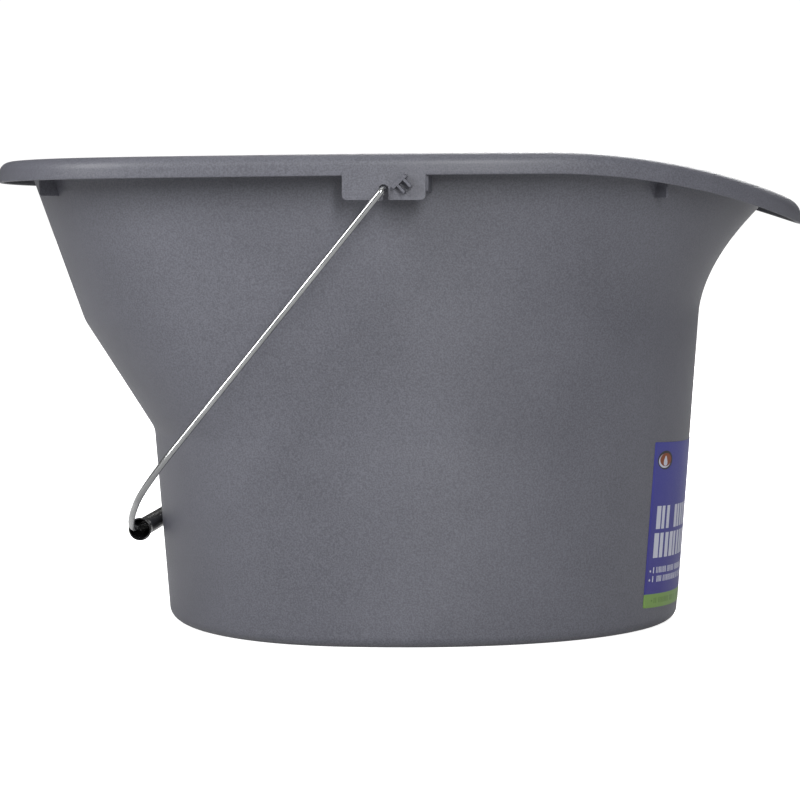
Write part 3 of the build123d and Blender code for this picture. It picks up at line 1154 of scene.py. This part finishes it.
    def skirt_y(self, x: np.ndarray) -> np.ndarray:
        """Distance of the skirt's outside from the XZ plane at x.

        Args:
            x: places along the tub.

        Returns:
            The distances.
        """
        ahead = x >= self.rim_widest_x
        reach = np.where(ahead, self.nose_x - self.rim_widest_x, self.rim_widest_x - self.back_x)
        power = np.where(ahead, self.nose_power, self.back_power)
        return self.rim_width / 2 * np.sqrt(1 - (np.abs(x - self.rim_widest_x) / reach) ** power)

    def wall_y(self, x: float, level: float) -> float:
        """Distance of the outer wall from the XZ plane at x and a level, read off the ring there."""
        ring = self.wall_ring(level, 0.0)[: self.steps_around // 2]
        return float(np.interp(x, ring[::-1, 0], ring[::-1, 1]))


@dataclass
class Ears:
    """Slotted tongues below the skirt that carry the bail, with stop ribs, legs and gussets."""

    tub: Tub
    width: float = 39.2 * MM
    depth: float = 12.2 * MM
    corner: float = 2.6 * MM
    overlap: float = 2.2 * MM
    proud: float = 0.03 * MM
    slot_radius: float = 2.3 * MM
    slot_mouth: float = 2.7 * MM
    wire_radius: float = 1.6 * MM
    gusset: float = 2.0 * MM
    gusset_depth: float = 8.2 * MM
    stop_angle: float = math.radians(43.5)
    stop_length: float = 9.0 * MM
    stop_wall: float = 2.0 * MM
    stop_proud: float = 3.4 * MM
    stop_start: float = 3.5 * MM
    stop_root: float = 2.6 * MM
    leg_starts: tuple[float, float] = (2.2 * MM, 6.2 * MM)
    leg_length: float = 4.8 * MM
    leg_wall: float = 1.3 * MM
    leg_overlap: float = 0.3 * MM

    def __post_init__(self) -> None:
        """Works out the ear's top level and bottom level."""
        self.top = self.tub.rim_top - self.tub.rim_height
        self.bottom = self.top - self.depth

    def plate(self) -> Skin:
        """Tongue bent to the skirt's curve: a rounded rectangle with a snap slot open at the bottom.

        Returns:
            The skin on the -Y side.
        """
        x, z = PIVOT[0], PIVOT[2]
        left, right = x - self.width / 2, x + self.width / 2
        mouth_right = x + self.slot_radius
        mouth_left = mouth_right - self.slot_mouth
        dip = -math.acos((mouth_left - x) / self.slot_radius)
        turn = np.linspace(FULL_TURN + dip, 0, 40)
        arc = np.stack([x + self.slot_radius * np.cos(turn), z + self.slot_radius * np.sin(turn)], -1)
        corners = [(left, self.bottom), (mouth_left, self.bottom), *arc.tolist(), (mouth_right, self.bottom)]
        corners += [(right, self.bottom), (right, self.top + self.overlap), (left, self.top + self.overlap)]
        radii = [self.corner, 0.35 * MM, *[0.0] * len(arc), 0.35 * MM, self.corner, 0.3 * MM, 0.3 * MM]
        outline = rounded_outline(corners, radii, 1.0 * MM)

        def on_skirt(depth: float) -> Placer:
            """Places flat (x, z) points on the skirt, moved in by a depth."""
            return lambda flat: np.stack([flat[:, 0], depth - self.tub.skirt_y(flat[:, 0]), flat[:, 1]], -1)

        return plate_skin(outline, 2.0 * MM, on_skirt(-self.proud), on_skirt(self.tub.skirt_wall))

    def stop(self) -> list[Skin]:
        """Slanted stop rib and its two legs: boxes with rounded ends, drawn in slightly towards the front.

        Returns:
            The skins on the -Y side.
        """
        root = self.tub.rim_width / 2 - self.stop_root
        reach = self.tub.rim_width / 2 + self.stop_proud
        along = np.array([math.cos(self.stop_angle), math.sin(self.stop_angle)])
        up = np.array([-along[1], along[0]])
        low = -self.wire_radius - self.stop_wall
        spans = [(self.stop_start, self.stop_length, low, self.stop_wall)]
        for start in self.leg_starts:
            leg = self.leg_length + self.leg_overlap
            spans.append((self.stop_start + start, self.leg_wall, low - self.leg_length, leg))
        skins = []
        for start, length, bottom, wall in spans:
            end, top = start + length, bottom + wall
            box = [(start, bottom), (end, bottom), (end, top), (start, top)]
            outline = rounded_outline(box, [0.4 * MM] * 4, 0.8 * MM)
            centre = np.array([start + length / 2, bottom + wall / 2])

            def at_depth(y: float, draft: float, middle: np.ndarray = centre) -> Placer:
                """Places rib points in the slanted frame at a depth, drawn towards their middle.

                Args:
                    y: distance from the XZ plane.
                    draft: share of the full size there.
                    middle: point that the draft draws to.

                Returns:
                    What carries flat points there.
                """

                def place(flat: np.ndarray) -> np.ndarray:
                    """Slanted frame to the row frame.

                    Args:
                        flat: points along and across the rib.

                    Returns:
                        Their places.
                    """
                    drawn = middle + (flat - middle) * draft
                    spots = PIVOT[[0, 2]] + drawn[:, :1] * along + drawn[:, 1:] * up
                    return np.stack([spots[:, 0], np.full(len(spots), -y), spots[:, 1]], -1)

                return place

            skins.append(plate_skin(outline, 0.9 * MM, at_depth(reach, 0.94), at_depth(root, 1.0)))
        return skins

    def gussets(self) -> list[Skin]:
        """Webs that tie the plate's two ends to the wall.

        Returns:
            The skins on the -Y side.
        """
        low = self.top - self.gusset_depth
        high = self.top + 4 * MM
        skins = []
        for x in (PIVOT[0] - self.width / 2 + 0.2 * MM, PIVOT[0] + self.width / 2 - 0.8 * MM):
            outer = float(self.tub.skirt_y(np.array(x + self.gusset))) - self.tub.skirt_wall / 2
            inner = self.tub.wall_y(x, low) - 1.0 * MM
            box = [(inner, low), (outer, low), (outer, high), (inner, high)]
            outline = rounded_outline(box, [0.2 * MM, 0.6 * MM, 0.2 * MM, 0.2 * MM], 1.5 * MM)
            skins.append(plate_skin(outline, 2.5 * MM, web_at(x), web_at(x + self.gusset)))
        return skins

    def skins(self) -> list[Skin]:
        """Every piece of both ears."""
        side = [self.plate(), *self.stop(), *self.gussets()]
        return side + [skin.mirrored() for skin in side]


def web_at(x: float) -> Placer:
    """Places flat (distance from the XZ plane, z) points at one x on the -Y side."""
    return lambda flat: np.stack([np.full(len(flat), x), -flat[:, 0], flat[:, 1]], -1)


@dataclass
class NestRibs:
    """Thin upright ribs under the flange, square to the wall, that keep stacked tubs apart."""

    tub: Tub
    thickness: float = 1.2 * MM
    reach: float = 9.5 * MM
    root: float = 1.2 * MM
    depth: float = 7.2 * MM
    places: tuple[float, float] = (43.5, 146.6)

    def rib(self, angle: float) -> Skin:
        """One rib on the -Y side: a flat plate from inside the leaning wall outwards along its normal.

        Args:
            angle: round the plan outline from the nose, in degrees.

        Returns:
            The skin, facing outwards.
        """
        level = self.tub.rim_top - self.tub.rim_height - self.depth
        ring = self.tub.wall_ring(level, 0.0)
        step = round(angle / 360 * self.tub.steps_around)
        spot = ring[step] * (1, -1, 1)
        run = (ring[step + 1] - ring[step - 1]) * (1, -1, 1)
        out = np.array([-run[1], run[0], 0.0]) / np.linalg.norm(run)
        out = out * np.sign(out[1] * spot[1])
        side = np.array([-out[1], out[0], 0.0])
        top = float(self.tub.rim_line(spot[0])) - self.tub.flange_wall / 2
        low = float(self.tub.rim_line(spot[0])) - self.tub.rim_height - self.depth
        walls = [(self.tub.wall_ring(height, 0.0)[step] * (1, -1, 1) - spot) @ out for height in (low, top)]
        inner_low, inner_top = np.minimum(np.array(walls) - self.root, self.reach - 2 * MM)
        box = [(inner_low, low), (self.reach, low), (self.reach, top), (inner_top, top)]
        outline = rounded_outline(box, [0.3 * MM, 1.0 * MM, 0.3 * MM, 0.3 * MM], 1.5 * MM)

        def face(offset: float) -> Placer:
            """Places flat (outwards, z) points beside the rib's middle plane.

            Args:
                offset: from the rib's middle plane.

            Returns:
                What carries flat points there.
            """

            def place(flat: np.ndarray) -> np.ndarray:
                """Flat frame to the row frame.

                Args:
                    flat: (outwards, z) points.

                Returns:
                    Their places.
                """
                spots = spot + flat[:, :1] * out + side * offset
                spots[:, 2] = flat[:, 1]
                return spots

            return place

        return plate_skin(outline, 2.0 * MM, face(self.thickness / 2), face(-self.thickness / 2))

    def skins(self) -> list[Skin]:
        """The four ribs."""
        side = [self.rib(angle) for angle in self.places]
        return side + [skin.mirrored() for skin in side]


@dataclass
class MouldedTub:
    """The tub with everything moulded on it."""

    tub: Tub
    edge: float = 0.28 * MM

    def build(self, finish: bpy.types.Material) -> None:
        """Builds the shell, the ears and the ribs in one plastic.

        Args:
            finish: the plastic.
        """
        shell = build_piece("tub_shell", self.tub.shell_skin(), finish)
        install(shell, Body.BUCKET, Slot.TUB, "tub")
        details = {"bail_ears": Ears(self.tub).skins(), "nesting_ribs": NestRibs(self.tub).skins()}
        for name, parts in details.items():
            piece = build_piece(name, joined(parts), finish)
            soften_edges(piece, self.edge)
            install(piece, Body.BUCKET, Slot.TUB)


# ---------------------------------------------------------------- label, bail and grip


@dataclass
class NoseLabel:
    """Printed film on the lower nose wall, whose ends stand a little higher, as flat film does on a taper."""

    tub: Tub
    bottom: float
    height: float
    width: float
    corner: float = 0.8 * MM
    skin: float = 0.2 * MM
    wrap_rise: float = 2.2 * MM
    thickness: float = 0.25 * MM

    def grid(self) -> tuple[np.ndarray, np.ndarray]:
        """Points on the wall and their texture places.

        A row at height z is as wide as the rounded rectangle there. Its x is c + r (1 - (y / b)^2)^(1 / n),
        the wall's plan curve solved for x.

        Returns:
            The points, as (rows, columns, 3), and the texture places.
        """
        rows = np.concatenate([np.linspace(0, 1, 9) ** 2 * 0.035, np.linspace(0.035, 0.965, 30)[1:-1]])
        rows = np.concatenate([rows, 1 - np.linspace(1, 0, 9) ** 2 * 0.035])
        across = np.linspace(-1, 1, 65)
        near = np.minimum(rows, 1 - rows) * self.height
        cut = self.corner - np.sqrt(np.maximum(self.corner**2 - np.maximum(self.corner - near, 0) ** 2, 0))
        level = (self.bottom + rows * self.height)[:, None]
        y = across[None, :] * (self.width / 2 - cut)[:, None]
        _, nose, half = self.tub.wall_ends(level)
        up = level / self.tub.rim_top
        widest = self.tub.foot_widest_x + (self.tub.rim_widest_x - self.tub.foot_widest_x) * up
        power = self.tub.foot_power + (self.tub.nose_power - self.tub.foot_power) * up
        x = widest + (nose + self.skin - widest) * (1 - (y / (half + self.skin)) ** 2) ** (1 / power)
        lift = self.wrap_rise * ((2 * y / self.width) ** 2 - 1)
        lean = (nose[-1] - nose[0]) / self.height
        points = np.stack([x + lift * lean, y, level + lift], -1)
        places = np.stack([y / self.width + 0.5, np.broadcast_to(rows[:, None], x.shape)], -1)
        return points, places

    def build(self, finish: bpy.types.Material) -> None:
        """Builds the film, with a live Solidify for its thickness.

        Args:
            finish: the printed film.
        """
        points, places = self.grid()
        rows, columns = points.shape[:2]
        i, j = np.meshgrid(np.arange(rows - 1), np.arange(columns - 1), indexing="ij")
        quads = np.stack(
            [i * columns + j, i * columns + j + 1, (i + 1) * columns + j + 1, (i + 1) * columns + j], -1
        ).reshape(-1, 4)
        flat = Skin(points.reshape(-1, 3), quads, places.reshape(-1, 2)[quads])
        film = build_piece("label_film", flat, finish)
        solid = film.modifiers.new("thickness", "SOLIDIFY")
        solid.thickness = self.thickness
        solid.offset = -1
        install(film, Body.BUCKET, Slot.LABEL, "nose_label")


@dataclass
class Bail:
    """Bent wire in the plane of its arms, from one hooked end to the other."""

    arm_y: float
    reach: float
    rest_angle: float = math.radians(39.1)
    wire: float = 3.2 * MM
    hook_bend: float = 2.4 * MM
    hook_inset: float = 7.5 * MM
    hook_leg: float = 3.4 * MM
    shoulder_radius: float = 41.6 * MM
    shoulder_turn: float = math.radians(60)
    bow_turn: float = math.radians(18)
    neck_radius: float = 30 * MM
    middle: float = 99.75 * MM
    sides: int = 28

    def moves(self) -> list[tuple[float, float]]:
        """Moves from end to end: (length, 0) for a run and (radius, turn) for a bend to the left.

        Returns:
            The moves in order.
        """
        leave = self.shoulder_turn
        arrive = self.shoulder_turn + self.bow_turn
        sideways = self.shoulder_radius * (1 - math.cos(leave)) + self.neck_radius * math.cos(arrive)
        bow = (self.arm_y - self.middle / 2 - sideways) / (math.cos(leave) - math.cos(arrive))
        forward = self.shoulder_radius * math.sin(leave) + bow * (math.sin(arrive) - math.sin(leave))
        arm = self.reach - self.hook_bend - forward - self.neck_radius * (1 - math.sin(arrive))
        quarter = math.pi / 2
        side = [
            (self.hook_leg, 0.0), (self.hook_bend, quarter), (self.hook_inset - 2 * self.hook_bend, 0.0),
            (self.hook_bend, quarter), (arm, 0.0), (self.shoulder_radius, leave), (bow, self.bow_turn),
            (self.neck_radius, quarter - arrive),
        ]
        return side + [(self.middle, 0.0)] + side[::-1]

    def flat_path(self) -> np.ndarray:
        """Centre line in the bail's plane: straight runs, and arcs stepped by angle about their centres.

        Returns:
            The points, as (count, 2).
        """
        spot = np.array([self.hook_bend + self.hook_leg, self.hook_inset - self.arm_y])
        facing = math.pi
        pieces = [spot[None]]
        for size, turn in self.moves():
            if turn == 0:
                share = np.linspace(0, 1, max(3, math.ceil(size / (6 * MM))) + 1)[1:, None]
                step = spot + size * share * (math.cos(facing), math.sin(facing))
            else:
                angles = facing + turn * np.linspace(0, 1, max(9, math.ceil(turn / 0.05)) + 1)[1:]
                centre = spot + size * np.array([-math.sin(facing), math.cos(facing)])
                step = centre + size * np.stack([np.sin(angles), -np.cos(angles)], -1)
                facing += turn
            pieces.append(step)
            spot = step[-1]
        return np.concatenate(pieces)

    def skin(self) -> Skin:
        """Tube round the centre line: ring point = centre + r (cos a N + sin a B), with domed ends.

        B is the plane's normal and N is B across the tangent, so the rings never twist.

        Returns:
            The skin, facing outwards.
        """
        flat = self.flat_path()
        arm = np.array([-math.sin(self.rest_angle), 0.0, -math.cos(self.rest_angle)])
        across = np.array([0.0, 1.0, 0.0])
        line = PIVOT * (1, 0, 1) + flat[:, :1] * arm + flat[:, 1:] * across
        tangent = np.gradient(line, axis=0)
        tangent /= np.linalg.norm(tangent, axis=1)[:, None]
        binormal = np.cross(arm, across)
        radius = self.wire / 2
        dome = np.radians(np.linspace(80, 0, 6))[:-1]
        head = line[0] - tangent[0] * radius * np.sin(dome)[:, None] * 0.8
        tail = line[-1] + tangent[-1] * radius * np.sin(dome[::-1])[:, None] * 0.8
        centres = np.concatenate([head, line, tail])
        ways = np.concatenate([np.repeat(tangent[:1], 5, 0), tangent, np.repeat(tangent[-1:], 5, 0)])
        radii = radius * np.concatenate([np.cos(dome), np.ones(len(line)), np.cos(dome[::-1])])
        normal = np.cross(binormal[None], ways)
        angles = np.arange(self.sides) * FULL_TURN / self.sides
        ring = np.cos(angles)[:, None, None] * normal + np.sin(angles)[:, None, None] * binormal
        grid = centres[None] + radii[None, :, None] * ring
        u = np.linspace(0, FULL_TURN * radius, self.sides + 1)
        ends = (line[0] - tangent[0] * radius * 0.8, line[-1] + tangent[-1] * radius * 0.8)
        return grid_skin(grid, u, lengths_along(centres), poles=ends)

    def build(self, finish: bpy.types.Material) -> None:
        """Builds the wire."""
        install(build_piece("bail_wire_bent", self.skin(), finish), Body.BAIL, Slot.WIRE, "bail_wire")


@dataclass
class Grip:
    """Hollow tube, flared at both mouths, with a faint parting line along each side."""

    length: float
    mouth: float
    barrel: float = 9.5 * MM
    bore: float = 7.9 * MM
    mouth_bore: float = 10.4 * MM
    flare: float = 13 * MM
    parting: float = 0.07 * MM
    parting_spread: float = 0.05
    sides: int = 144

    def flared(self, y: np.ndarray, narrow: float, wide: float) -> np.ndarray:
        """Radius at y: the narrow one, then along an arc that leaves it smoothly and ends at the wide one.

        Args:
            y: places along the tube, from its middle.
            narrow: diameter of the middle part.
            wide: diameter at the mouth.

        Returns:
            The radii.
        """
        rise = (wide - narrow) / 2
        bend = (self.flare**2 + rise**2) / (2 * rise)
        past = np.maximum(np.abs(y) - (self.length / 2 - self.flare), 0)
        return narrow / 2 + bend - np.sqrt(bend**2 - past**2)

    def skin(self) -> Skin:
        """Closed section turned about the axis; the parting line adds h exp(-(sin a / w)^2) outside.

        Returns:
            The skin, facing outwards.
        """
        lip = (self.mouth - self.mouth_bore) / 4
        end = self.length / 2 - lip
        y = end * np.sin(np.linspace(-1, 1, 61) * math.pi / 2)
        outer = self.flared(y, self.barrel, self.mouth)
        inner = self.flared(y, self.bore, self.mouth_bore)
        turn = np.linspace(math.pi / 2, -math.pi / 2, 10)[1:-1]
        middle = (outer[-1] + inner[-1]) / 2
        half = (outer[-1] - inner[-1]) / 2
        lip_r = middle + half * np.sin(turn)
        lip_y = end + lip * np.cos(turn)
        radius = np.concatenate([outer, lip_r, inner[::-1], lip_r[::-1]])
        along = np.concatenate([y, lip_y, y[::-1], -lip_y[::-1]])
        outside = np.concatenate([np.ones(len(y)), np.zeros(len(radius) - len(y))])
        angles = np.arange(self.sides) * FULL_TURN / self.sides
        ridge = self.parting * np.exp(-((np.sin(angles) / self.parting_spread) ** 2))
        turned = radius[None] + ridge[:, None] * outside[None]
        grid = GRIP_CENTRE + np.stack([
            turned * np.cos(angles)[:, None],
            np.broadcast_to(along, turned.shape),
            turned * np.sin(angles)[:, None],
        ], -1)
        u = np.linspace(0, FULL_TURN * self.barrel / 2, self.sides + 1)
        v = lengths_along(np.stack([np.append(radius, radius[0]), np.append(along, along[0])], -1))
        return grid_skin(grid, u, v, wrap=True)

    def build(self, finish: bpy.types.Material) -> None:
        """Builds the grip."""
        install(build_piece("grip_tube", self.skin(), finish), Body.HANDLE, Slot.GRIP, "grip")


# ---------------------------------------------------------------- studio


@dataclass(frozen=True)
class Softbox:
    """Rectangular soft light: where it hangs, how wide and high it is, and its power in watts."""

    name: str
    place: tuple[float, float, float]
    size: tuple[float, float]
    power: float


SOFTBOXES = (
    Softbox("left_softbox", (-1.6, -1.5, 1.2), (0.7, 1.4), 44.0),
    Softbox("right_softbox", (0.7, -2.2, 1.1), (0.4, 1.4), 44.0),
    Softbox("back_softbox", (0.3, 1.9, 1.5), (1.2, 1.2), 42.0),
    Softbox("top_softbox", (0.0, 0.0, 2.0), (1.6, 1.2), 6.0),
)


@dataclass
class Studio:
    """Pale floor, soft lights and the camera."""

    azimuth: float = math.radians(6.3)
    distance: float = 1.2831
    axis_x: float = -1.5 * MM
    camera_height: float = 0.2091
    tilt: float = math.radians(4.25)
    lens: float = 108.45
    floor_size: float = 60.0
    lights_aim: tuple[float, float, float] = (0.0, 0.0, 0.12)

    def camera(self) -> None:
        """Places the camera on its azimuth, aimed at the tub's axis and tilted down."""
        data = bpy.data.cameras.new("camera")
        data.lens = self.lens
        data.sensor_width = 36.0
        data.clip_end = 50.0
        camera = bpy.data.objects.new("camera", data)
        side = Vector((math.sin(self.azimuth), -math.cos(self.azimuth), 0.0))
        camera.location = side * self.distance + Vector((self.axis_x, 0, self.camera_height))
        look = -side * math.cos(self.tilt) - Vector((0, 0, math.sin(self.tilt)))
        camera.rotation_mode = "QUATERNION"
        camera.rotation_quaternion = look.to_track_quat("-Z", "Y")
        bpy.context.scene.collection.objects.link(camera)
        bpy.context.scene.camera = camera

    def soft_light(self, box: Softbox) -> None:
        """Hangs a soft light and turns it to the middle of the tub.

        Args:
            box: the light's name, place, size and power.
        """
        data = bpy.data.lights.new(box.name, "AREA")
        data.shape = "RECTANGLE"
        data.size, data.size_y = box.size
        data.energy = box.power
        lamp = bpy.data.objects.new(box.name, data)
        lamp.location = box.place
        lamp.rotation_mode = "QUATERNION"
        lamp.rotation_quaternion = (Vector(self.lights_aim) - Vector(box.place)).to_track_quat("-Z", "Y")
        bpy.context.scene.collection.objects.link(lamp)

    def world(self) -> None:
        """Bright sides and top, darker in front and behind, seen as white where nothing stands in front."""
        world = bpy.data.worlds.new("studio")
        bpy.context.scene.world = world
        world.use_nodes = True
        tree = world.node_tree
        tree.nodes.clear()
        way = tree.nodes.new("ShaderNodeTexCoord").outputs["Generated"]
        front = vector_calc(tree, "DOT_PRODUCT", way, (math.sin(self.azimuth), -math.cos(self.azimuth), 0.0))
        level = ramp(tree, calc(tree, "ABSOLUTE", front.outputs["Value"]), 0.1, 0.9, 0.30, 0.09)
        lit = add(tree, "ShaderNodeBackground", {"Color": (1.0, 1.0, 1.0, 1.0), "Strength": level})
        seen = add(tree, "ShaderNodeBackground", {"Color": (1.0, 1.0, 1.0, 1.0), "Strength": 1.05})
        camera_ray = tree.nodes.new("ShaderNodeLightPath").outputs["Is Camera Ray"]
        both = add(tree, "ShaderNodeMixShader", {0: camera_ray, 1: lit.outputs[0], 2: seen.outputs[0]})
        add(tree, "ShaderNodeOutputWorld", {"Surface": both.outputs[0]})

    def floor(self) -> None:
        """Wide pale floor with a faint even tooth, which glows for the camera and bounces little light."""
        half = self.floor_size / 2
        corners = np.array([(-half, -half, 0), (half, -half, 0), (half, half, 0), (-half, half, 0)], float)
        flat = corners[:, :2] / self.floor_size + 0.5
        skin = Skin(corners, np.array([[0, 1, 2, 3]]), flat[None])
        material, tree, shader = new_material("pale_floor", {"Roughness": 0.9, "Emission Strength": 1.0})
        point = object_point(tree)
        tooth = noise(tree, point, 60.0, 4.0)
        pale = blend_colours(tree, tooth, (0.88, 0.88, 0.88, 1.0), (0.92, 0.92, 0.92, 1.0))
        camera_ray = tree.nodes.new("ShaderNodeLightPath").outputs["Is Camera Ray"]
        base = blend_colours(tree, camera_ray, (0.45, 0.45, 0.45, 1.0), pale)
        tree.links.new(base, shader.inputs["Base Color"])
        away = vector_calc(tree, "LENGTH", point).outputs["Value"]
        glow = ramp(tree, away, 0.3, 1.2, 0.70, 1.0)
        seen = calc(tree, "ADD", 0.10, calc(tree, "MULTIPLY", camera_ray, glow))
        tree.links.new(seen, shader.inputs["Emission Color"])
        build_piece("floor", skin, material)

    def build(self) -> None:
        """Builds the whole studio."""
        self.camera()
        self.world()
        self.floor()
        for box in SOFTBOXES:
            self.soft_light(box)
        bpy.context.scene.view_settings.view_transform = "Standard"


def span(node: str) -> tuple[Vector, Vector]:
    """Lowest corner and size of a node of the part."""
    low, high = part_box(node)
    return low, high - low


def main() -> None:
    """Builds the bucket's pieces in order, then the studio."""
    logging.basicConfig(level=logging.INFO, format="%(name)s: %(message)s")
    groups = Groups.build()
    tub_low, tub_size = span("tub")
    label_low, label_size = span("nose_label")
    _, grip_size = span("grip")
    _, bail_size = span("bail_wire")
    tub = Tub(tub_size.x, RIM_WIDTH, RIM_TOP)
    MouldedTub(tub).build(TubPlastic().material(groups))
    print_finish = LabelPrint(label_size.y / MM, label_size.z / MM).material(groups)
    NoseLabel(tub, label_low.z, label_size.z, label_size.y).build(print_finish)
    Bail((bail_size.y - Bail.wire) / 2, BAIL_REACH).build(ZincWire().material(groups))
    Grip(grip_size.y, grip_size.x).build(GripPlastic().material(groups))
    Studio().build()
    log.info("tub stands on %.4f m", tub_low.z)


if __name__ == "__main__":
    main()
